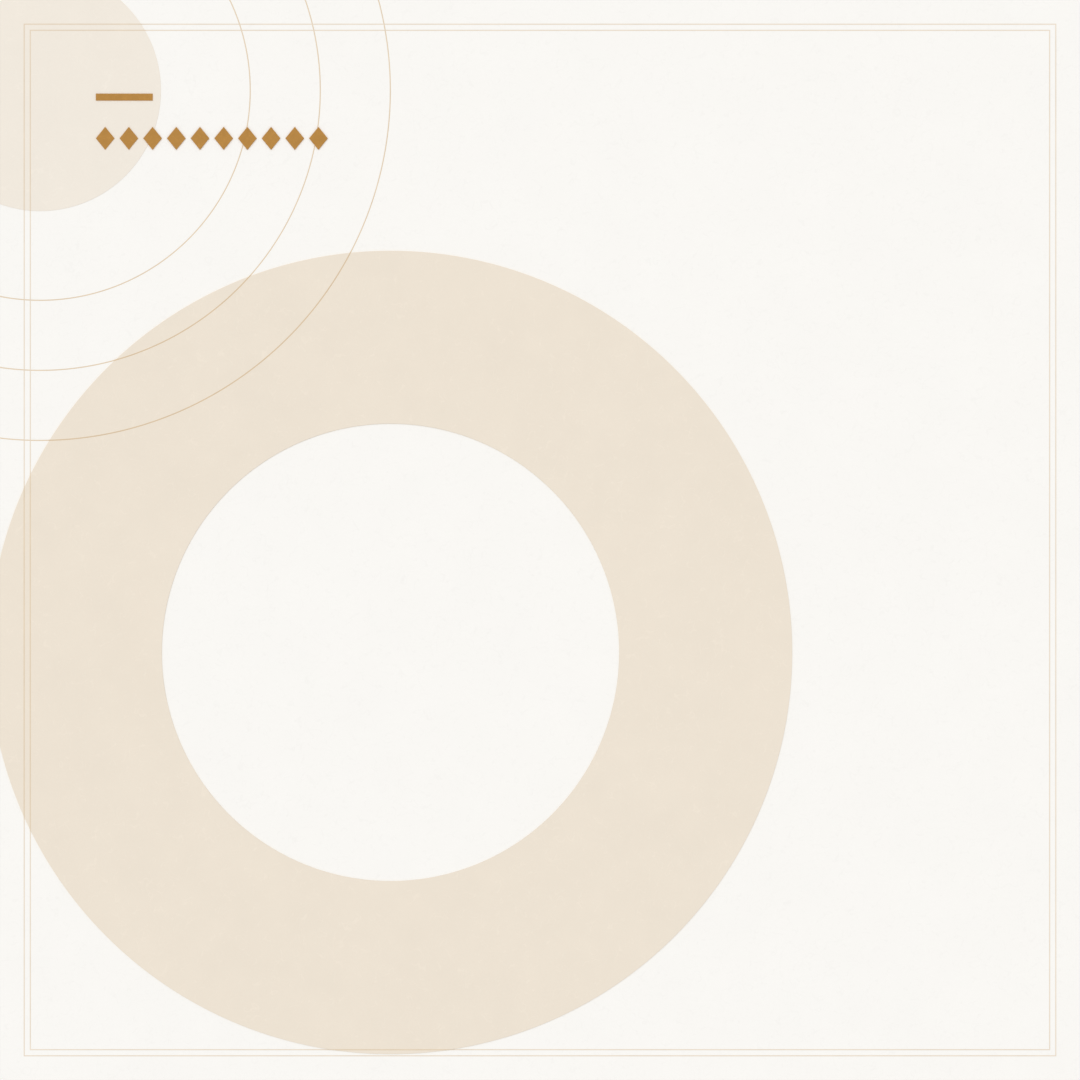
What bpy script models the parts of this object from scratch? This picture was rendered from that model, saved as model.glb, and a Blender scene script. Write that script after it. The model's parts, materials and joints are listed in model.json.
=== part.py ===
"""Square title card, 300 mm on a side, built up like a framer's laminated board.

A back sheet, a core board and a face sheet are pasted on one another. The face sheet is
cut out for a broad ring, a corner disc, a short bar and a row of lozenges. Those are let
in from the front, rest on the core board and stand a little proud of the face. Two square
border lines and three ring lines round the disc are scored into the face.

The card lies on its back: +X to the right of the design, +Y to its head, +Z out of its
face, and the origin on the underside, at the middle of the square.
"""

import math

import bmesh
import bpy
from mathutils import Matrix

MM = 0.001

# The board. JOINT is the room for paste between two sheets, and round a piece let in.
SIDE = 300 * MM
JOINT = 0.3 * MM
BACK_THICKNESS = 0.5 * MM
CORE_THICKNESS = 2.0 * MM
FACE_THICKNESS = 0.9 * MM

CORE_BOTTOM = BACK_THICKNESS + JOINT
SEAT = CORE_BOTTOM + CORE_THICKNESS + JOINT
FACE_TOP = SEAT + FACE_THICKNESS

# How far each kind of inlay stands out of the face.
DISC_PROUD = 0.15 * MM
RING_PROUD = 0.25 * MM
TITLE_PROUD = 0.35 * MM

# The design, measured from the card's left edge and its top edge. Each size is that of the
# opening in the face, and the piece let into it is a joint smaller all round.
DISC_CENTRE = (11.25 * MM, 25.15 * MM)
DISC_RADIUS = 33.5 * MM
RING_CENTRE = (108.5 * MM, 181.2 * MM)
RING_RADIUS = 111.5 * MM
RING_BREADTH = 48.0 * MM
TITLE_LEFT = 26.7 * MM
TITLE_WIDTH = 64.4 * MM
BAR_SIZE = (15.8 * MM, 1.95 * MM)
BAR_MIDDLE = 27.05 * MM
ROW_MIDDLE = 38.5 * MM
LOZENGES = 10
LOZENGE_SIZE = (5.2 * MM, 6.4 * MM)
LOZENGE_PITCH = (TITLE_WIDTH - LOZENGE_SIZE[0]) / (LOZENGES - 1)

# Scored lines: one depth and width for all, and three radii a fixed step apart.
SCORE_WIDTH = 0.28 * MM
SCORE_DEPTH = 0.18 * MM
BORDER_INSETS = (6.8 * MM, 8.5 * MM)
RING_LINE_RADIUS = 58.3 * MM
RING_LINE_STEP = 19.45 * MM
RING_LINES = 3

# Sides of every round outline, and how far a cutter passes the surfaces that it opens.
ROUND_SIDES = 144
CLEAR = 5 * MM

# Each card's colour and roughness.
CARDS = {
    "backing_paper": ("d9d2c4", 0.9),
    "grey_board": ("cfc8ba", 0.95),
    "face_card": ("faf8f4", 0.85),
    "tan_card": ("ede2d2", 0.8),
    "cream_card": ("f1e9dd", 0.8),
    "ochre_card": ("b8894a", 0.7),
}


def linear(hex_colour):
    """RGBA for a shader socket, from an sRGB colour in hex."""
    channels = [int(hex_colour[i : i + 2], 16) / 255 for i in (0, 2, 4)]
    return [c / 12.92 if c <= 0.04045 else ((c + 0.055) / 1.055) ** 2.4 for c in channels] + [1.0]


def card_material(name):
    colour, roughness = CARDS[name]
    material = bpy.data.materials.new(name)
    material.use_nodes = True
    shader = material.node_tree.nodes["Principled BSDF"]
    shader.inputs["Base Color"].default_value = linear(colour)
    shader.inputs["Roughness"].default_value = roughness
    shader.inputs["Metallic"].default_value = 0.0
    return material


def on_card(from_left, from_top):
    """A place on the card, as X and Y from its middle."""
    return from_left - SIDE / 2, SIDE / 2 - from_top


def new_object(name, mesh, place, low, collection):
    """Wraps a mesh that stands on z = 0 and sets it down at a place and a height."""
    piece = bpy.data.objects.new(name, mesh)
    piece.location = (*place, low)
    collection.objects.link(piece)
    return piece


def prism(name, sides, radii, height, turn=0.0):
    """A mesh: an upright prism on z = 0, its corners on an ellipse of the two radii."""
    bm = bmesh.new()
    bmesh.ops.create_cone(
        bm, cap_ends=True, segments=sides, radius1=1, radius2=1, depth=1,
        matrix=Matrix.Translation((0, 0, 0.5)) @ Matrix.Rotation(turn, 4, "Z"),
    )
    bmesh.ops.scale(bm, vec=(*radii, height), verts=bm.verts)
    mesh = bpy.data.meshes.new(name)
    bm.to_mesh(mesh)
    bm.free()
    return mesh


def slab(name, width, depth, height):
    """A mesh: a box standing on z = 0. A square prism's corners lie half a side times root two out."""
    half = math.sqrt(0.5)
    return prism(name, 4, (width * half, depth * half), height, math.radians(45))


def disc(name, radius, height):
    return prism(name, ROUND_SIDES, (radius, radius), height)


def lozenge(name, width, depth, height):
    return prism(name, 4, (width / 2, depth / 2), height)


def band(name, sides, radius, breadth, height, place, low, collection, turn=0.0):
    """An upright open wall of the given plan, thickened to either side into a flat band."""
    bm = bmesh.new()
    bmesh.ops.create_cone(
        bm, cap_ends=False, segments=sides, radius1=radius, radius2=radius, depth=height,
        matrix=Matrix.Translation((0, 0, height / 2)) @ Matrix.Rotation(turn, 4, "Z"),
    )
    mesh = bpy.data.meshes.new(name)
    bm.to_mesh(mesh)
    bm.free()
    piece = new_object(name, mesh, place, low, collection)
    thicken = piece.modifiers.new("breadth", "SOLIDIFY")
    thicken.thickness = breadth
    thicken.offset = 0
    thicken.use_even_offset = True
    return piece


def boolean(piece, tool, operation):
    cut = piece.modifiers.new(tool.name, "BOOLEAN")
    cut.operation = operation
    cut.object = tool


def cut_out(piece, tool):
    boolean(piece, tool, "DIFFERENCE")


def trim_to_card(piece, card_block):
    """Cuts off what runs past the card's edges, flush with them."""
    boolean(piece, card_block, "INTERSECT")


def as_cutter(tool):
    tool.hide_render = True
    tool.display_type = "WIRE"
    return tool


def border_cutter(inset, low, cutters):
    """A square line, inset from the card's edges, from a height up through the face."""
    corner = (SIDE / 2 - inset) * math.sqrt(2)
    name = f"border_{inset / MM:.1f}_at_{low / MM:.2f}"
    tool = band(name, 4, corner, SCORE_WIDTH, CLEAR, (0, 0), low, cutters, math.radians(45))
    return as_cutter(tool)


def ring_line_cutter(line, low, cutters):
    """A round line about the corner disc's centre."""
    radius = RING_LINE_RADIUS + line * RING_LINE_STEP
    name = f"ring_line_{line + 1}_at_{low / MM:.2f}"
    tool = band(name, ROUND_SIDES, radius, SCORE_WIDTH, CLEAR, on_card(*DISC_CENTRE), low, cutters)
    return as_cutter(tool)


def score(piece, top, ring_lines, cutters):
    """Scores the border lines, and the ring lines that cross this piece, into its top."""
    low = top - SCORE_DEPTH
    for inset in BORDER_INSETS:
        cut_out(piece, border_cutter(inset, low, cutters))
    for line in ring_lines:
        cut_out(piece, ring_line_cutter(line, low, cutters))


def lozenge_places():
    """The row's places, from the left: its first lozenge starts in line with the bar."""
    first = TITLE_LEFT + LOZENGE_SIZE[0] / 2
    return [on_card(first + i * LOZENGE_PITCH, ROW_MIDDLE) for i in range(LOZENGES)]


def bar_place():
    return on_card(TITLE_LEFT + BAR_SIZE[0] / 2, BAR_MIDDLE)


def fitted_bar():
    """The bar's width and height, a joint in from its opening."""
    return [length - 2 * JOINT for length in BAR_SIZE]


def fitted_lozenge():
    """A lozenge's width and height, with its four sides a joint in from its opening's."""
    width, height = LOZENGE_SIZE
    share = 1 - 2 * JOINT * math.hypot(width, height) / (width * height)
    return width * share, height * share


def title_cutters(cutters):
    """The openings for the bar and the lozenges."""
    low = SEAT - CLEAR
    depth = 2 * CLEAR
    bar = slab("bar_opening", *BAR_SIZE, depth)
    tools = [new_object("bar_opening", bar, bar_place(), low, cutters)]
    opening = lozenge("lozenge_opening", *LOZENGE_SIZE, depth)
    for number, place in enumerate(lozenge_places(), 1):
        tools.append(new_object(f"lozenge_opening_{number:02d}", opening, place, low, cutters))
    return [as_cutter(tool) for tool in tools]


def round_cutter(name, centre, radius, cutters):
    mesh = disc(name, radius, 2 * CLEAR)
    return as_cutter(new_object(name, mesh, on_card(*centre), SEAT - CLEAR, cutters))


def sheets(card):
    """The back sheet and the core board, plain squares under the face."""
    back = slab("back_sheet", SIDE, SIDE, BACK_THICKNESS)
    back.materials.append(card_material("backing_paper"))
    core = slab("core_board", SIDE, SIDE, CORE_THICKNESS)
    core.materials.append(card_material("grey_board"))
    new_object("back_sheet", back, (0, 0), 0, card)
    new_object("core_board", core, (0, 0), CORE_BOTTOM, card)


def face_sheet(card, cutters, title_openings):
    """The face round the broad ring, with openings for every piece let into it."""
    mesh = slab("face_sheet", SIDE, SIDE, FACE_THICKNESS)
    mesh.materials.append(card_material("face_card"))
    sheet = new_object("face_sheet", mesh, (0, 0), SEAT, card)
    cut_out(sheet, round_cutter("disc_opening", DISC_CENTRE, DISC_RADIUS, cutters))
    cut_out(sheet, round_cutter("ring_opening", RING_CENTRE, RING_RADIUS, cutters))
    for opening in title_openings:
        cut_out(sheet, opening)
    score(sheet, FACE_TOP, range(RING_LINES), cutters)


def ring_field(card):
    """The round of face card inside the broad ring."""
    mesh = disc("ring_field", RING_RADIUS - RING_BREADTH, FACE_THICKNESS)
    mesh.materials.append(bpy.data.materials["face_card"])
    new_object("ring_field", mesh, on_card(*RING_CENTRE), SEAT, card)


def broad_ring(card, cutters, card_block):
    """The broad ring, a joint in from the face on its outer side and from its field inside."""
    breadth = RING_BREADTH - 2 * JOINT
    height = FACE_THICKNESS + RING_PROUD
    ring = band(
        "broad_ring", ROUND_SIDES, RING_RADIUS - RING_BREADTH / 2, breadth, height,
        on_card(*RING_CENTRE), SEAT, card,
    )
    ring.data.materials.append(card_material("tan_card"))
    trim_to_card(ring, card_block)
    score(ring, FACE_TOP + RING_PROUD, (1, 2), cutters)


def corner_disc(card, cutters, card_block, title_openings):
    """The disc, cut by the card's corner, with openings for the bar and the first lozenges."""
    mesh = disc("corner_disc", DISC_RADIUS - JOINT, FACE_THICKNESS + DISC_PROUD)
    mesh.materials.append(card_material("cream_card"))
    piece = new_object("corner_disc", mesh, on_card(*DISC_CENTRE), SEAT, card)
    trim_to_card(piece, card_block)
    for opening in title_openings:
        cut_out(piece, opening)
    score(piece, FACE_TOP + DISC_PROUD, (), cutters)


def title_pieces(card):
    """The bar and, under it, the row of lozenges."""
    ochre = card_material("ochre_card")
    height = FACE_THICKNESS + TITLE_PROUD
    bar = slab("title_bar", *fitted_bar(), height)
    bar.materials.append(ochre)
    new_object("title_bar", bar, bar_place(), SEAT, card)
    mesh = lozenge("lozenge", *fitted_lozenge(), height)
    mesh.materials.append(ochre)
    for number, place in enumerate(lozenge_places(), 1):
        new_object(f"lozenge_{number:02d}", mesh, place, SEAT, card)


def make_cuts_final(card):
    """Turns each modified piece into its finished mesh, its flats flat and its round walls smooth."""
    graph = bpy.context.evaluated_depsgraph_get()
    finished = {piece: bpy.data.meshes.new_from_object(piece.evaluated_get(graph)) for piece in card.objects}
    for piece, mesh in finished.items():
        piece.modifiers.clear()
        piece.data = mesh
        mesh.name = piece.name
        mesh.shade_smooth()
        mesh.set_sharp_from_angle(angle=math.radians(30))


def clear_scene():
    for piece in list(bpy.data.objects):
        bpy.data.objects.remove(piece)


def main():
    clear_scene()
    card = bpy.data.collections.new("title_card")
    cutters = bpy.data.collections.new("cutters")
    bpy.context.scene.collection.children.link(card)
    bpy.context.scene.collection.children.link(cutters)

    block = slab("card_block", SIDE, SIDE, 2 * CLEAR)
    card_block = as_cutter(new_object("card_block", block, (0, 0), SEAT - CLEAR, cutters))
    title_openings = title_cutters(cutters)

    sheets(card)
    face_sheet(card, cutters, title_openings)
    ring_field(card)
    broad_ring(card, cutters, card_block)
    corner_disc(card, cutters, card_block, title_openings)
    title_pieces(card)
    make_cuts_final(card)


main()
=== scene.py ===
"""Looks of the square title card: cut papers, pulp board, paste and ruled ink.

The solids of the card are the frame. The face sheet keeps its solid and gets its paper.
Every other piece is made anew, a little finer than its solid: the sheets with their cut
edges, the inlays with a pressed shoulder and closed joints, the film of paste between the
sheets, and the ink lines that lie in the scores.
"""

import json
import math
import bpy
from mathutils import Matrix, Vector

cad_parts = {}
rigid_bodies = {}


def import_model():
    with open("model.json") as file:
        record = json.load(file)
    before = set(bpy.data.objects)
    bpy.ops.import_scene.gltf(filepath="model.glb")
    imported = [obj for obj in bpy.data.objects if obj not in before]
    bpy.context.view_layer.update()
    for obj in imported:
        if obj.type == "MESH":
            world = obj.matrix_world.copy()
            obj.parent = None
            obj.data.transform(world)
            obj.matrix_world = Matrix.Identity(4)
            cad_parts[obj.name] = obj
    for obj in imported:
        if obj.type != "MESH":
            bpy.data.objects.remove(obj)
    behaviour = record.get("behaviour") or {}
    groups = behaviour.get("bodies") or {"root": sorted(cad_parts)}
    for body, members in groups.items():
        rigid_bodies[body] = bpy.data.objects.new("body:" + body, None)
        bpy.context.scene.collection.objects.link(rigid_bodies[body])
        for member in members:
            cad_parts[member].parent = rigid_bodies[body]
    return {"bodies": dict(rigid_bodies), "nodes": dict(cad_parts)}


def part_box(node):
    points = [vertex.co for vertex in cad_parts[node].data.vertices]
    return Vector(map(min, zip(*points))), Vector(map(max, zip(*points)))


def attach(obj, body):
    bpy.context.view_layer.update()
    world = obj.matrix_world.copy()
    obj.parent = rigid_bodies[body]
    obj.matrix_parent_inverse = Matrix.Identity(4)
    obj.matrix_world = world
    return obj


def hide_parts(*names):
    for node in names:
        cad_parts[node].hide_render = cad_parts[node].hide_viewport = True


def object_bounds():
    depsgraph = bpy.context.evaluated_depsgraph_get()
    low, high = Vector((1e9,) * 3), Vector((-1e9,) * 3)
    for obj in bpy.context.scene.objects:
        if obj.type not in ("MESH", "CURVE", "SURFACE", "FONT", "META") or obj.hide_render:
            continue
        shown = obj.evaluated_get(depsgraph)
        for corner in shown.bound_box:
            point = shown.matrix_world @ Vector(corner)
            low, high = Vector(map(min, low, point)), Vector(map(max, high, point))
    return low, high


bl_info = {
    "name": "Square Title Card",
    "version": (1, 0, 0),
    "blender": (4, 5, 0),
    "location": "View3D > Sidebar > Title Card",
    "description": "Dresses a laminated title card with its papers, inlays, ink lines and a studio",
    "category": "Object",
}

import bpy
import numpy as np
from bpy.props import FloatProperty, FloatVectorProperty, PointerProperty
from bpy.types import Operator, Panel, PropertyGroup

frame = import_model()
CAD_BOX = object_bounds()
BODY = next(iter(frame["bodies"]))

MM = 0.001
LEFT, FOOT = CAD_BOX[0][0], CAD_BOX[0][1]
RIGHT, HEAD = CAD_BOX[1][0], CAD_BOX[1][1]
FACE_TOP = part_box("face_sheet")[1].z
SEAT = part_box("face_sheet")[0].z
LOZENGES = sorted(name for name in frame["nodes"] if name.startswith("lozenge_"))

FLOOR_RADIUS = 8.0
FLOOR_GAP = 0.02 * MM
CAMERA_NEAR, CAMERA_FAR = 0.05, 50

# How finely the outlines are drawn: the turn from one point to the next round the field and
# the floor, and how many points the broad ring has on the card and past its edge, and the disc.
FIELD_TURN = math.radians(1.25)
FLOOR_TURN = math.radians(5)
RING_POINTS = 300
RING_POINTS_PAST_THE_EDGE = 24
DISC_POINTS = 160

# Ink lines are worked out in fine steps, of which one in so many is kept where the card is level.
BORDER_STEPS_A_SIDE = 12000
BORDER_STEPS_KEPT = 400
RING_LINE_STEPS = 10000
RING_LINE_STEPS_KEPT = 50
INK_POINTS_ACROSS = 9
LEVEL_WITHIN = 1e-9

# An edge between two faces is drawn sharp where they meet at more than this.
SHARP = math.radians(35)

# What an ink line lies on, which is also the order of its materials.
ON_FACE, ON_RING, ON_DISC = range(3)

# A Mix node's two colours and its result, by number, as its other sockets share their names.
MIX_A, MIX_B, MIX_RESULT = 6, 7, 2

# Most of a noise lies between these values, from which it is stretched to its full range.
NOISE_LOW, NOISE_HIGH = 0.3, 0.7


def srgb(hex_colour):
    """An sRGB colour in hex, as linear red, green and blue."""
    channels = np.array([int(hex_colour[i : i + 2], 16) for i in (0, 2, 4)]) / 255
    curve = ((channels + 0.055) / 1.055) ** 2.4
    return np.where(channels <= 0.04045, channels / 12.92, curve).tolist()


# ---------------------------------------------------------------- sizes and colours


class CardSizes(PropertyGroup):
    """Sizes of the finish, in metres. The card's own sizes come from its solids."""

    paste_room: FloatProperty(
        name="Paste room",
        description="Room that the solids leave round each piece let into the face",
        default=0.3 * MM,
        unit="LENGTH",
    )
    joint: FloatProperty(
        name="Joint",
        description="What is left of that room when the piece is pressed home",
        default=0.004 * MM,
        unit="LENGTH",
    )
    shoulder: FloatProperty(
        name="Shoulder",
        description="Radius that the press gives an inlay's upper edge",
        default=0.07 * MM,
        unit="LENGTH",
    )
    cut_edge: FloatProperty(
        name="Cut edge",
        description="Radius left by the knife along a sheet's edges",
        default=0.03 * MM,
        unit="LENGTH",
    )
    paste_recess: FloatProperty(
        name="Paste recess",
        description="How far the paste stops short of the card's edges",
        default=0.12 * MM,
        unit="LENGTH",
    )
    disc_radius: FloatProperty(
        name="Disc radius",
        description="Radius of the corner disc before the card's edges cut it",
        default=33.5 * MM,
        unit="LENGTH",
    )
    line_width: FloatProperty(
        name="Line width",
        description="Width of every ruled line, a little over its score, as the ink spreads",
        default=0.32 * MM,
        unit="LENGTH",
    )
    line_depth: FloatProperty(
        name="Line depth",
        description="How deep the ink fills its score",
        default=0.17 * MM,
        unit="LENGTH",
    )
    line_crown: FloatProperty(
        name="Line crown",
        description="How far the dried ink stands over the card",
        default=0.015 * MM,
        unit="LENGTH",
    )
    outer_border: FloatProperty(
        name="Outer border",
        description="Inset of the outer border line from the card's edges",
        default=6.8 * MM,
        unit="LENGTH",
    )
    inner_border: FloatProperty(
        name="Inner border",
        description="Inset of the inner border line from the card's edges",
        default=8.5 * MM,
        unit="LENGTH",
    )
    ring_line_radius: FloatProperty(
        name="First ring line",
        description="Radius of the smallest ring line, round the corner disc's centre",
        default=58.3 * MM,
        unit="LENGTH",
    )
    ring_line_step: FloatProperty(
        name="Ring line step",
        description="From one ring line to the next",
        default=19.45 * MM,
        unit="LENGTH",
    )


def colour_property(name, description, hex_colour):
    """A colour that a user can change, with its default as sRGB in hex."""
    return FloatVectorProperty(
        name=name, description=description, default=srgb(hex_colour),
        subtype="COLOR", size=3, min=0, max=1,
    )


class CardColours(PropertyGroup):
    """Colours of the papers and inks."""

    face: colour_property("Face", "Off-white rag mount card", "faf8f4")
    tan: colour_property("Tan", "Tan cover card of the broad ring", "ede2d2")
    cream: colour_property("Cream", "Cream cover card of the corner disc", "f1e9dd")
    ochre: colour_property("Ochre", "Ochre cover card of the bar and the lozenges", "b5843f")
    board: colour_property("Board", "Grey pulp board of the core", "c9bfae")
    backing: colour_property("Backing", "Buff lining paper on the back", "d3c6ae")
    paste: colour_property("Paste", "Dried starch paste between the sheets", "a89878")
    ring_ink: colour_property("Ring line ink", "Ring lines on the face", "e2cfb4")
    ring_ink_on_tan: colour_property("Ring line ink on tan", "Ring lines on the broad ring", "d9c1a0")
    border_ink: colour_property("Border ink", "Border lines on the face", "e9dcca")
    border_ink_on_tan: colour_property("Border ink on tan", "Border lines on the broad ring", "e2cfb4")
    border_ink_on_cream: colour_property("Border ink on cream", "Border lines on the disc", "e4d3bc")
    floor: colour_property("Floor", "Pale studio floor", "dcd9d4")


class CardStudio(PropertyGroup):
    """The lamps and the camera."""

    sky: FloatProperty(
        name="Sky",
        description="Strength of the even white light from all round",
        default=0.801,
    )
    key: FloatProperty(
        name="Key",
        description="Strength of the broad lamp at the head of the card",
        default=0.7325,
    )
    key_spread: FloatProperty(
        name="Key spread",
        description="How wide the key lamp looks from the card",
        default=math.radians(40),
        subtype="ANGLE",
    )
    key_to_head: FloatProperty(
        name="Key to head",
        description="How far the key lamp leans from overhead towards the card's head",
        default=math.radians(26),
        subtype="ANGLE",
    )
    key_to_left: FloatProperty(
        name="Key to left",
        description="How far the key lamp leans from overhead towards the card's left",
        default=math.radians(17),
        subtype="ANGLE",
    )
    lens: FloatProperty(
        name="Lens",
        description="Focal length in millimetres, long enough to keep the card's sides out of sight",
        default=200,
    )
    overfill: FloatProperty(
        name="Overfill",
        description="Share of the card's width that falls outside the picture",
        default=0.0005,
    )


# ---------------------------------------------------------------- surfaces


def surface(name, grid, closed_rows=False, closed_columns=True, poles=()):
    """A mesh over a grid of points, rows by columns.

    Columns run round an outline and rows climb its profile, so that faces point outwards
    where the outline runs anticlockwise. Poles close the first and the last row with fans.
    Columns that don't close are capped at both ends.
    """
    rows, columns = grid.shape[:2]
    index = np.arange(rows * columns).reshape(rows, columns)
    points = grid.reshape(-1, 3)
    lower = index if closed_rows else index[:-1]
    upper = np.roll(index, -1, axis=0) if closed_rows else index[1:]
    quads = np.stack([lower, np.roll(lower, -1, 1), np.roll(upper, -1, 1), upper], axis=-1)
    faces = (quads if closed_columns else quads[:, :-1]).reshape(-1, 4).tolist()
    if not closed_columns:
        faces += [index[:, 0].tolist(), index[::-1, -1].tolist()]
    if len(poles):
        first, last = len(points), len(points) + 1
        points = np.vstack([points, poles])
        foot, top = index[0], index[-1]
        faces += np.column_stack([np.full(columns, first), np.roll(foot, -1), foot]).tolist()
        faces += np.column_stack([np.full(columns, last), top, np.roll(top, -1)]).tolist()
    mesh = bpy.data.meshes.new(name)
    mesh.from_pydata(points.tolist(), [], faces)
    mesh.shade_smooth()
    mesh.set_sharp_from_angle(angle=SHARP)
    return mesh


def mitres(points):
    """How each point of a closed anticlockwise outline moves when its sides move in by one.

    The two unit normals that meet at a point, added and divided by one plus their dot product.
    """
    along = np.roll(points, -1, 0) - points
    normals = np.column_stack([-along[:, 1], along[:, 0]]) / np.linalg.norm(along, axis=1)[:, None]
    before = np.roll(normals, 1, 0)
    return (before + normals) / (1 + (before * normals).sum(1))[:, None]


def level(outline, inset, height):
    """One row of a grid: the outline, moved in along its mitres, at a height."""
    points = outline + inset * mitres(outline)
    return np.column_stack([points, np.full(len(points), height)])


def rounded(radius, steps=5):
    """Insets and drops of a quarter round from a wall up to a flat: r (1 - cos t), r (1 - sin t)."""
    turn = np.linspace(0, math.pi / 2, steps)
    return radius * (1 - np.cos(turn)), radius * (1 - np.sin(turn))


def slab(name, outline, low, top, shoulder, heel=0.0):
    """A sheet with a plain outline.

    Its profile climbs the wall, turns over the shoulder and runs level to the middle. The
    heel is the same turn at its foot. A last row just inside the shoulder keeps the flat
    shaded flat.
    """
    insets, drops = rounded(shoulder)
    rows = [level(outline, inset, top - drop) for inset, drop in zip(insets, drops)]
    rows.append(level(outline, 2 * shoulder, top))
    if heel:
        insets, drops = rounded(heel)
        foot = [level(outline, inset, low + drop) for inset, drop in zip(insets, drops)]
        rows = [level(outline, 2 * heel, low), *foot[::-1], *rows]
    else:
        rows = [level(outline, 0, low), *rows]
    middle = outline.mean(0)
    return surface(name, np.array(rows), poles=[[*middle, low], [*middle, top]])


def ring_slab(name, outer, inner, low, top, shoulder):
    """A flat ring between two outlines of as many points.

    Its profile climbs the outer wall, turns over a shoulder, crosses the top, turns down over
    the inner shoulder and comes back along the foot.
    """
    insets, drops = rounded(shoulder)
    outer_rows = [level(outer, inset, top - drop) for inset, drop in zip(insets, drops)]
    inner_rows = [level(inner, -inset, top - drop) for inset, drop in zip(insets, drops)]
    rows = [level(outer, 0, low), *outer_rows, level(outer, 2 * shoulder, top)]
    rows += [level(inner, -2 * shoulder, top), *inner_rows[::-1], level(inner, 0, low)]
    return surface(name, np.array(rows), closed_rows=True)


def box_outline(node, grow=0.0):
    """The rectangle of a node's box, grown by a width all round, anticlockwise."""
    low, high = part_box(node)
    x = np.array([low.x - grow, high.x + grow])
    y = np.array([low.y - grow, high.y + grow])
    return np.column_stack([x[[0, 1, 1, 0]], y[[0, 0, 1, 1]]])


def lozenge_outline(node, grow):
    """The lozenge whose corners halve the sides of a node's box, its sides moved out by a width."""
    low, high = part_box(node)
    middle, half = (low + high) / 2, (high - low) / 2
    corners = np.array([[half.x, 0], [0, half.y], [-half.x, 0], [0, -half.y]])
    outline = corners + np.array(middle[:2])
    return outline - grow * mitres(outline)


def circle(centre, radius, angles):
    """Points on a circle: its centre, plus its radius times the cosine and sine of each angle."""
    return np.array(centre) + radius * np.column_stack([np.cos(angles), np.sin(angles)])


def left_crossing(centre, radius):
    """The angle, up or down from due right, at which a circle passes the card's left edge."""
    return math.acos((LEFT - centre[0]) / radius)


def head_crossing(centre, radius):
    """The angle from due right at which a circle passes the card's head."""
    return math.asin((HEAD - centre[1]) / radius)


def on_the_card(points):
    """Points past the card's edges, pulled straight back to them."""
    return np.clip(points, [LEFT, FOOT], [RIGHT, HEAD])


# ---------------------------------------------------------------- places read from the frame


def ring_circles(sizes):
    """The broad ring's centre, and its outer and inner radius where it meets the face."""
    low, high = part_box("ring_field")
    ring_low, ring_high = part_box("broad_ring")
    centre = ((low.x + high.x) / 2, (low.y + high.y) / 2)
    outer = (ring_high.y - ring_low.y) / 2 + sizes.paste_room
    return centre, outer, (high.x - low.x) / 2


def disc_circle(sizes):
    """The corner disc's centre and radius, from its right and lowest points."""
    low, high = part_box("corner_disc")
    reach = sizes.disc_radius - sizes.paste_room
    return (high.x - reach, low.y + reach), sizes.disc_radius


def inlay_rise(inside, step, shoulder):
    """How far an inlay stands over the face, at a distance inside its outline.

    Nothing outside it, and the whole step past its shoulder. Between, with t the distance over
    the shoulder's radius r, the step less r (1 - sqrt(1 - (1 - t)^2)).
    """
    short = 1 - np.clip(inside / shoulder, 0, 1)
    return np.where(inside > 0, step - shoulder * (1 - np.sqrt(1 - short**2)), 0)


def card_under(points, sizes, reach):
    """The height of the card under each point, and which of its papers is there.

    The height is the card's highest within the reach of the point, so that a face between
    two such points bridges the edge of an inlay and doesn't cut into it.
    """
    centre, outer, inner = ring_circles(sizes)
    from_ring = np.linalg.norm(points - centre, axis=-1)
    disc_centre, disc_radius = disc_circle(sizes)
    from_disc = np.linalg.norm(points - disc_centre, axis=-1)
    in_ring = np.minimum(outer - from_ring, from_ring - inner)
    in_disc = disc_radius - from_disc
    height = np.full(from_disc.shape, FACE_TOP)
    for node, inside in (("broad_ring", in_ring), ("corner_disc", in_disc)):
        height += inlay_rise(inside + reach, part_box(node)[1].z - FACE_TOP, sizes.shoulder)
    ground = np.select([in_ring > 0, in_disc > 0], [ON_RING, ON_DISC], ON_FACE)
    return height, ground


# ---------------------------------------------------------------- ink lines


def ink_line(name, points, normals, sizes, closed, coarse):
    """A bar of dried ink along a path that is given in fine steps.

    Its section is flat sided below the card and a low crown above it, h (1 - (2s/w)^2) at s
    from the middle of a width w. Each point of it follows the card's height there, and each
    face is marked with the paper that it lies on. Of the steps, one in so many is kept, and
    all where the card steps up or down.
    """
    across = np.linspace(-0.5, 0.5, INK_POINTS_ACROSS)
    crown = sizes.line_crown * (1 - (2 * across) ** 2)
    side = np.concatenate([[-0.5], across, [0.5]]) * sizes.line_width
    rise = np.concatenate([[-sizes.line_depth], crown, [-sizes.line_depth]])
    places = points + side[:, None, None] * normals
    height, ground = card_under(places, sizes, (across[1] - across[0]) * sizes.line_width)
    climbs = (np.abs(np.roll(height, -1, 1) - height) > LEVEL_WITHIN).any(0)
    keep = climbs | np.roll(climbs, 1) | (np.arange(len(points)) % coarse == 0)
    keep &= (points == on_the_card(points)).all(1)
    keep[[0, -1]] = True
    places, height, ground = places[:, keep], height[:, keep], ground[:, keep]
    grid = np.dstack([on_the_card(places), height + rise[:, None]])
    mesh = surface(name, grid, closed_rows=True, closed_columns=closed)
    marks = ground.ravel() if closed else np.append(ground[:, :-1], ground[0, [0, -1]])
    mesh.polygons.foreach_set("material_index", marks)
    return mesh


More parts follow.
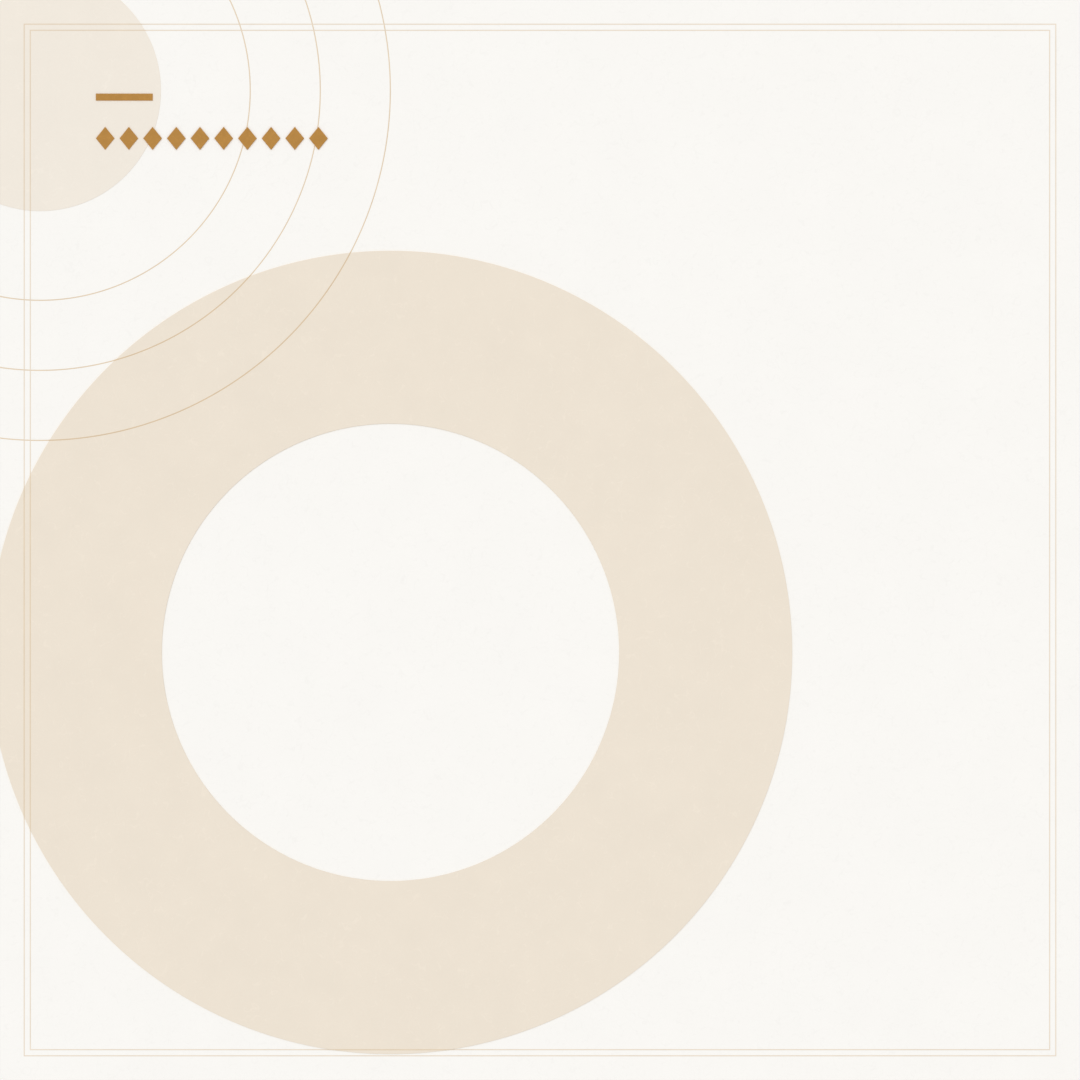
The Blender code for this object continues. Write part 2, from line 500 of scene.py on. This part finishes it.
def border_path(inset):
    """A square inset from the card's edges, in even steps, and its mitred inward normals."""
    half = (RIGHT - LEFT) / 2 - inset
    corners = half * np.array([[-1, -1], [1, -1], [1, 1], [-1, 1]])
    share = (np.arange(BORDER_STEPS_A_SIDE) / BORDER_STEPS_A_SIDE)[None, :, None]
    sides = corners[:, None] + share * (np.roll(corners, -1, 0) - corners)[:, None]
    points = sides.reshape(-1, 2)
    return points, mitres(points)


def ring_line_path(centre, radius, over):
    """The part of a circle that lies on the card, from its left edge round to its head.

    It runs on past both edges by a length, over, and ink_line pulls its last points back.
    """
    past = over / radius
    first, last = -left_crossing(centre, radius) - past, head_crossing(centre, radius) + past
    angles = np.linspace(first, last, RING_LINE_STEPS)
    return circle(centre, radius, angles), circle((0, 0), -1, angles)


# ---------------------------------------------------------------- materials


def add(tree, kind, sockets, out=0, **settings):
    """Adds one node with its settings. Each socket takes a value or another node's output."""
    node = tree.nodes.new(kind)
    for name, setting in settings.items():
        setattr(node, name, setting)
    for socket, given in sockets.items():
        if isinstance(given, bpy.types.NodeSocket):
            tree.links.new(given, node.inputs[socket])
        else:
            node.inputs[socket].default_value = given
    return node.outputs[out]


def shade(colour, factor):
    """A linear colour made lighter or darker, as RGBA for a socket."""
    return [min(channel * factor, 1.0) for channel in colour] + [1.0]


def start_material(name, roughness, specular):
    """A material, its node tree, its shader, and the Object coordinates that its patterns read."""
    material = bpy.data.materials.new(name)
    material.use_nodes = True
    tree = material.node_tree
    shader = tree.nodes["Principled BSDF"]
    shader.inputs["Roughness"].default_value = roughness
    shader.inputs["Specular IOR Level"].default_value = specular
    return material, tree, shader, add(tree, "ShaderNodeTexCoord", {}, out="Object")


def fibres(tree, place, length, width):
    """Thin curved hairs: the line along which a noise crosses its middle, kept in patches."""
    field = add(
        tree, "ShaderNodeTexNoise",
        {"Vector": place, "Scale": 1 / length, "Detail": 1, "Distortion": 0.6},
    )
    side = add(tree, "ShaderNodeMath", {0: field, 1: 0.5}, operation="SUBTRACT")
    away = add(tree, "ShaderNodeMath", {0: side}, operation="ABSOLUTE")
    # The noise climbs by roughly 0.7 over one length, so this is what it gains in half a width.
    reach = 0.35 * width / length
    hairs = add(
        tree, "ShaderNodeMapRange",
        {"Value": away, "From Max": reach, "To Min": 1, "To Max": 0},
    )
    cover = add(tree, "ShaderNodeTexNoise", {"Vector": place, "Scale": 1.3 / length, "Detail": 2})
    patches = add(tree, "ShaderNodeMapRange", {"Value": cover, "From Min": 0.46, "From Max": 0.52})
    return add(tree, "ShaderNodeMath", {0: hairs, 1: patches}, operation="MULTIPLY")


def paper(name, colour, cloud, tooth, fibre, roughness=0.86, specular=0.3):
    """A sheet of paper: cloudy where its pulp lies thicker, with a tooth and loose fibres.

    cloud is a size and the share by which it turns the colour; tooth is a size and a depth;
    fibre is a length, how much of it shows, and how its colour differs. The real fibres are
    about 0.03 mm thick, and are drawn at 0.2 mm so that they show.
    """
    material, tree, shader, place = start_material(name, roughness, specular)
    size, share = cloud
    pulp = add(
        tree, "ShaderNodeTexNoise",
        {"Vector": place, "Scale": 1 / size, "Detail": 4, "Roughness": 0.6},
    )
    thickness = add(
        tree, "ShaderNodeMapRange",
        {"Value": pulp, "From Min": NOISE_LOW, "From Max": NOISE_HIGH},
    )
    ground = add(
        tree, "ShaderNodeMix",
        {"Factor": thickness, MIX_A: shade(colour, 1 - share), MIX_B: shade(colour, 1 + share)},
        out=MIX_RESULT, data_type="RGBA",
    )
    length, shown, factor = fibre
    hairs = fibres(tree, place, length, 0.2 * MM)
    faint = add(tree, "ShaderNodeMath", {0: hairs, 1: shown}, operation="MULTIPLY")
    stock = add(
        tree, "ShaderNodeMix",
        {"Factor": faint, MIX_A: ground, MIX_B: shade(colour, factor)},
        out=MIX_RESULT, data_type="RGBA",
    )
    tree.links.new(stock, shader.inputs["Base Color"])
    size, depth = tooth
    grain = add(
        tree, "ShaderNodeTexNoise",
        {"Vector": place, "Scale": 1 / size, "Detail": 3, "Roughness": 0.65},
    )
    # A hair lies over the tooth by 0.3 of its depth.
    raised = add(tree, "ShaderNodeMath", {0: hairs, 1: 0.3, 2: grain}, operation="MULTIPLY_ADD")
    normal = add(tree, "ShaderNodeBump", {"Height": raised, "Distance": depth})
    tree.links.new(normal, shader.inputs["Normal"])
    return material


def rag_mount_card(colours):
    """Cotton rag mount card, calendered: a soft off-white with hardly any cloud."""
    return paper(
        "rag_mount_card", colours.face,
        cloud=(14 * MM, 0.006), tooth=(0.7 * MM, 0.03 * MM),
        fibre=(3.2 * MM, 0.2, 0.88),
    )


def tan_cover_card(colours):
    """Cover card dyed in the pulp and pressed between felts: even, with a few pale fibres."""
    return paper(
        "tan_cover_card", colours.tan,
        cloud=(11 * MM, 0.012), tooth=(0.9 * MM, 0.04 * MM),
        fibre=(3.6 * MM, 0.3, 1.1),
    )


def cream_cover_card(colours):
    """The same card in a paler dye."""
    return paper(
        "cream_cover_card", colours.cream,
        cloud=(11 * MM, 0.010), tooth=(0.9 * MM, 0.04 * MM),
        fibre=(3.6 * MM, 0.3, 1.08),
    )


def ochre_cover_card(colours):
    """Deep-dyed cover card: the dye takes unevenly, so it is mottled and its fibres show pale."""
    return paper(
        "ochre_cover_card", colours.ochre,
        cloud=(1.8 * MM, 0.05), tooth=(0.5 * MM, 0.03 * MM),
        fibre=(1.6 * MM, 0.22, 1.45), roughness=0.78,
    )


def lining_paper(colours):
    """Unbleached lining paper: buff and cloudy, with many dark fibres."""
    return paper(
        "lining_paper", colours.backing,
        cloud=(8 * MM, 0.05), tooth=(0.8 * MM, 0.05 * MM),
        fibre=(4.5 * MM, 0.5, 0.66), roughness=0.9,
    )


def pulp_board(colours):
    """Board couched from many thin plies of waste pulp.

    Its cut edge shows the plies as level streaks 0.25 mm thick, with flat flecks of darker
    pulp among them.
    """
    material, tree, shader, place = start_material("pulp_board", 0.95, 0.2)
    pressed = add(tree, "ShaderNodeMapping", {"Vector": place, "Scale": (1, 1, 100)})
    layers = add(
        tree, "ShaderNodeTexNoise", {"Vector": pressed, "Scale": 1 / (25 * MM), "Detail": 4}
    )
    plies = add(tree, "ShaderNodeMapRange", {"Value": layers, "From Min": 0.35, "From Max": 0.65})
    ground = add(
        tree, "ShaderNodeMix",
        {"Factor": plies, MIX_A: shade(colours.board, 0.86), MIX_B: shade(colours.board, 1.06)},
        out=MIX_RESULT, data_type="RGBA",
    )
    flattened = add(tree, "ShaderNodeMapping", {"Vector": place, "Scale": (1, 1, 5)})
    waste = add(
        tree, "ShaderNodeTexNoise", {"Vector": flattened, "Scale": 1 / (1.1 * MM), "Detail": 1}
    )
    flecks = add(tree, "ShaderNodeMapRange", {"Value": waste, "From Min": 0.64, "From Max": 0.76})
    pulp = add(
        tree, "ShaderNodeMix",
        {"Factor": flecks, MIX_A: ground, MIX_B: shade(colours.board, 0.62)},
        out=MIX_RESULT, data_type="RGBA",
    )
    tree.links.new(pulp, shader.inputs["Base Color"])
    normal = add(tree, "ShaderNodeBump", {"Height": plies, "Distance": 0.06 * MM})
    tree.links.new(normal, shader.inputs["Normal"])
    return material


def starch_paste(colours):
    """Dried starch paste: a dull amber line with small voids, and painted shade that darkens it inside
    them.
    """
    material, tree, shader, place = start_material("starch_paste", 0.6, 0.4)
    blobs = add(
        tree, "ShaderNodeTexNoise", {"Vector": place, "Scale": 1 / (0.9 * MM), "Detail": 2}
    )
    paste_voids_and_painted_shade = add(tree, "ShaderNodeMapRange", {"Value": blobs, "From Min": 0.4, "From Max": 0.6})
    # Where the paste sinks into a void its colour goes darker: painted shade laid over the real voids
    # of the bump.
    paste = add(
        tree, "ShaderNodeMix",
        {"Factor": paste_voids_and_painted_shade, MIX_A: shade(colours.paste, 0.8), MIX_B: shade(colours.paste, 1.1)},
        out=MIX_RESULT, data_type="RGBA",
    )
    tree.links.new(paste, shader.inputs["Base Color"])
    normal = add(tree, "ShaderNodeBump", {"Height": paste_voids_and_painted_shade, "Distance": 0.03 * MM})
    tree.links.new(normal, shader.inputs["Normal"])
    return material


def ruled_ink(name, colour):
    """Pigment ink from a ruling pen: a thin matt film that runs a little fuller and leaner."""
    material, tree, shader, place = start_material(name, 0.7, 0.35)
    run = add(
        tree, "ShaderNodeTexNoise",
        {"Vector": place, "Scale": 1 / (5 * MM), "Detail": 3, "Roughness": 0.6},
    )
    fullness = add(
        tree, "ShaderNodeMapRange",
        {"Value": run, "From Min": NOISE_LOW, "From Max": NOISE_HIGH},
    )
    film = add(
        tree, "ShaderNodeMix",
        {"Factor": fullness, MIX_A: shade(colour, 1.03), MIX_B: shade(colour, 0.96)},
        out=MIX_RESULT, data_type="RGBA",
    )
    tree.links.new(film, shader.inputs["Base Color"])
    grain = add(
        tree, "ShaderNodeTexNoise", {"Vector": place, "Scale": 1 / (0.4 * MM), "Detail": 2}
    )
    normal = add(tree, "ShaderNodeBump", {"Height": grain, "Distance": 0.01 * MM})
    tree.links.new(normal, shader.inputs["Normal"])
    return material


def floor_paint(colours):
    """Matt emulsion on a studio floor, rolled on, so its tone drifts a little."""
    material, tree, shader, place = start_material("floor_paint", 0.9, 0.2)
    coats = add(
        tree, "ShaderNodeTexNoise", {"Vector": place, "Scale": 1 / (250 * MM), "Detail": 2}
    )
    drift = add(
        tree, "ShaderNodeMapRange",
        {"Value": coats, "From Min": NOISE_LOW, "From Max": NOISE_HIGH},
    )
    paint = add(
        tree, "ShaderNodeMix",
        {"Factor": drift, MIX_A: shade(colours.floor, 0.99), MIX_B: shade(colours.floor, 1.01)},
        out=MIX_RESULT, data_type="RGBA",
    )
    tree.links.new(paint, shader.inputs["Base Color"])
    return material


# ---------------------------------------------------------------- pieces


def piece(name, mesh, materials, replaced=()):
    """Puts a finished mesh on the card as a piece that stands for its solids."""
    made = bpy.data.objects.new(name, mesh)
    bpy.context.scene.collection.objects.link(made)
    for material in materials:
        mesh.materials.append(material)
    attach(made, BODY)
    if replaced:
        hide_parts(*replaced)
    return made


class TITLECARD_OT_board(Operator):
    """Lays the backing paper, the core board and the paste between the sheets"""

    bl_idname = "title_card.board"
    bl_label = "Board"

    def execute(self, context):
        sizes, colours = context.scene.card_sizes, context.scene.card_colours
        back_low, back_top = (corner.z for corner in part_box("back_sheet"))
        core_low, core_top = (corner.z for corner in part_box("core_board"))
        for node, low, top, material, slot in (
            ("back_sheet", back_low, back_top, lining_paper(colours), "backing_paper"),
            ("core_board", core_low, core_top, pulp_board(colours), "grey_board"),
        ):
            mesh = slab(f"{node}_cut", box_outline(node), low, top, sizes.cut_edge, sizes.cut_edge)
            piece(f"{node}_cut", mesh, [material], [node])
        paste = starch_paste(colours)
        square = box_outline("core_board", -sizes.paste_recess)
        for name, low, top in (
            ("paste_under_core", back_top, core_low),
            ("paste_over_core", core_top, SEAT),
        ):
            piece(name, slab(name, square, low, top, sizes.cut_edge), [paste])
        return {"FINISHED"}


class TITLECARD_OT_face(Operator):
    """Gives the face sheet its rag card and makes the round of face inside the broad ring"""

    bl_idname = "title_card.face"
    bl_label = "Face"

    def execute(self, context):
        sizes, colours = context.scene.card_sizes, context.scene.card_colours
        card = rag_mount_card(colours)
        sheet = frame["nodes"]["face_sheet"]
        sheet.data.materials.clear()
        sheet.data.materials.append(card)
        centre, _, radius = ring_circles(sizes)
        angles = np.arange(0, 2 * math.pi, FIELD_TURN)
        outline = circle(centre, radius, angles)
        mesh = slab("ring_field_card", outline, SEAT, FACE_TOP, sizes.cut_edge)
        piece("ring_field_card", mesh, [card], ["ring_field"])
        return {"FINISHED"}


class TITLECARD_OT_broad_ring(Operator):
    """Lets in the broad ring, cut off flush where it runs past the card's left edge"""

    bl_idname = "title_card.broad_ring"
    bl_label = "Broad Ring"

    def execute(self, context):
        sizes, colours = context.scene.card_sizes, context.scene.card_colours
        centre, outer, inner = ring_circles(sizes)
        outer, inner = outer - sizes.joint, inner + sizes.joint
        to_edge = left_crossing(centre, outer)
        on_card = np.linspace(-to_edge, to_edge, RING_POINTS, endpoint=False)
        past_edge = np.linspace(
            to_edge, 2 * math.pi - to_edge, RING_POINTS_PAST_THE_EDGE, endpoint=False
        )
        angles = np.concatenate([on_card, past_edge])
        outer_line = on_the_card(circle(centre, outer, angles))
        inner_line = circle(centre, inner, angles)
        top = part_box("broad_ring")[1].z
        mesh = ring_slab("broad_ring_card", outer_line, inner_line, SEAT, top, sizes.shoulder)
        piece("broad_ring_card", mesh, [tan_cover_card(colours)], ["broad_ring"])
        return {"FINISHED"}


class TITLECARD_OT_corner_disc(Operator):
    """Lets in the corner disc, cut off flush along the card's left edge and head"""

    bl_idname = "title_card.corner_disc"
    bl_label = "Corner Disc"

    def execute(self, context):
        sizes, colours = context.scene.card_sizes, context.scene.card_colours
        centre, radius = disc_circle(sizes)
        radius -= sizes.joint
        first, last = -left_crossing(centre, radius), head_crossing(centre, radius)
        angles = np.linspace(first, last, DISC_POINTS)
        outline = np.vstack([circle(centre, radius, angles), [LEFT, HEAD]])
        mesh = slab("corner_disc_card", outline, SEAT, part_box("corner_disc")[1].z, sizes.shoulder)
        piece("corner_disc_card", mesh, [cream_cover_card(colours)], ["corner_disc"])
        return {"FINISHED"}


class TITLECARD_OT_title(Operator):
    """Lets in the ochre bar and the row of lozenges under it"""

    bl_idname = "title_card.title"
    bl_label = "Bar and Lozenges"

    def execute(self, context):
        sizes, colours = context.scene.card_sizes, context.scene.card_colours
        card = ochre_cover_card(colours)
        grow = sizes.paste_room - sizes.joint
        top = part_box("title_bar")[1].z
        mesh = slab("title_bar_card", box_outline("title_bar", grow), SEAT, top, sizes.shoulder)
        piece("title_bar_card", mesh, [card], ["title_bar"])
        for node in LOZENGES:
            mesh = slab(f"{node}_card", lozenge_outline(node, grow), SEAT, top, sizes.shoulder)
            piece(f"{node}_card", mesh, [card], [node])
        return {"FINISHED"}


class TITLECARD_OT_lines(Operator):
    """Fills the scores with ink: two border lines, and three ring lines round the corner disc"""

    bl_idname = "title_card.lines"
    bl_label = "Ruled Lines"

    def execute(self, context):
        sizes, colours = context.scene.card_sizes, context.scene.card_colours
        border_inks = [
            ruled_ink("border_ink_on_face", colours.border_ink),
            ruled_ink("border_ink_on_tan", colours.border_ink_on_tan),
            ruled_ink("border_ink_on_cream", colours.border_ink_on_cream),
        ]
        ring_inks = [
            ruled_ink("ring_ink_on_face", colours.ring_ink),
            ruled_ink("ring_ink_on_tan", colours.ring_ink_on_tan),
        ]
        for name, inset in (("outer", sizes.outer_border), ("inner", sizes.inner_border)):
            path = border_path(inset)
            mesh = ink_line(
                f"border_line_{name}", *path, sizes, closed=True, coarse=BORDER_STEPS_KEPT
            )
            piece(mesh.name, mesh, border_inks)
        centre, _ = disc_circle(sizes)
        for number in range(3):
            radius = sizes.ring_line_radius + number * sizes.ring_line_step
            path = ring_line_path(centre, radius, sizes.line_width)
            mesh = ink_line(
                f"ring_line_{number + 1}", *path, sizes, closed=False, coarse=RING_LINE_STEPS_KEPT
            )
            piece(mesh.name, mesh, ring_inks)
        return {"FINISHED"}


class TITLECARD_OT_stage(Operator):
    """Sets the pale floor, the soft light and the camera that looks straight down on the card"""

    bl_idname = "title_card.stage"
    bl_label = "Stage"

    def execute(self, context):
        scene = context.scene
        self.floor(scene)
        self.light(scene)
        self.camera(scene)
        scene.view_settings.view_transform = "Standard"
        return {"FINISHED"}

    def floor(self, scene):
        """A wide disc, a hair under the card so that the two never touch."""
        angles = np.arange(0, 2 * math.pi, FLOOR_TURN)
        outline = circle((0, 0), FLOOR_RADIUS, angles)
        rim = np.column_stack([outline, np.full(len(angles), -FLOOR_GAP)])
        mesh = bpy.data.meshes.new("floor")
        mesh.from_pydata(rim.tolist(), [], [list(range(len(rim)))])
        mesh.materials.append(floor_paint(scene.card_colours))
        floor = bpy.data.objects.new("floor", mesh)
        scene.collection.objects.link(floor)

    def light(self, scene):
        """A white sky, and one broad lamp far off beyond the head of the card, to its left."""
        studio = scene.card_studio
        world = bpy.data.worlds.new("studio")
        world.use_nodes = True
        sky = world.node_tree.nodes["Background"]
        sky.inputs["Color"].default_value = (1, 1, 1, 1)
        sky.inputs["Strength"].default_value = studio.sky
        scene.world = world
        lamp = bpy.data.lights.new("key", "SUN")
        lamp.energy = studio.key
        lamp.angle = studio.key_spread
        key = bpy.data.objects.new("key", lamp)
        key.rotation_euler = (-studio.key_to_head, -studio.key_to_left, 0)
        scene.collection.objects.link(key)

    def camera(self, scene):
        """Far enough up for the face to fill the picture: half of it over the half angle's tangent."""
        lens = bpy.data.cameras.new("camera")
        lens.lens = scene.card_studio.lens
        lens.clip_start = CAMERA_NEAR
        lens.clip_end = CAMERA_FAR
        half_side = (RIGHT - LEFT) / 2 * (1 - scene.card_studio.overfill)
        distance = half_side * lens.lens / (lens.sensor_width / 2)
        camera = bpy.data.objects.new("camera", lens)
        camera.location = (0, 0, FACE_TOP + distance)
        scene.collection.objects.link(camera)
        scene.camera = camera


class TITLECARD_PT_panel(Panel):
    """Lists the card's pieces, its sizes and its colours"""

    bl_idname = "TITLECARD_PT_panel"
    bl_label = "Title Card"
    bl_space_type = "VIEW_3D"
    bl_region_type = "UI"
    bl_category = "Title Card"

    def draw(self, context):
        for operator in OPERATORS:
            self.layout.operator(operator.bl_idname)
        for name in GROUPS:
            group = getattr(context.scene, name)
            box = self.layout.box()
            for setting in group.__annotations__:
                box.prop(group, setting)


GROUPS = {"card_sizes": CardSizes, "card_colours": CardColours, "card_studio": CardStudio}
OPERATORS = (
    TITLECARD_OT_board,
    TITLECARD_OT_face,
    TITLECARD_OT_broad_ring,
    TITLECARD_OT_corner_disc,
    TITLECARD_OT_title,
    TITLECARD_OT_lines,
    TITLECARD_OT_stage,
)


def register():
    for kind in (*GROUPS.values(), *OPERATORS, TITLECARD_PT_panel):
        bpy.utils.register_class(kind)
    for name, group in GROUPS.items():
        setattr(bpy.types.Scene, name, PointerProperty(type=group))


def unregister():
    for name in GROUPS:
        delattr(bpy.types.Scene, name)
    for kind in (TITLECARD_PT_panel, *reversed(OPERATORS), *reversed(GROUPS.values())):
        bpy.utils.unregister_class(kind)


def main():
    register()
    bpy.ops.title_card.board()
    bpy.ops.title_card.face()
    bpy.ops.title_card.broad_ring()
    bpy.ops.title_card.corner_disc()
    bpy.ops.title_card.title()
    bpy.ops.title_card.lines()
    bpy.ops.title_card.stage()


if __name__ == "__main__":
    main()
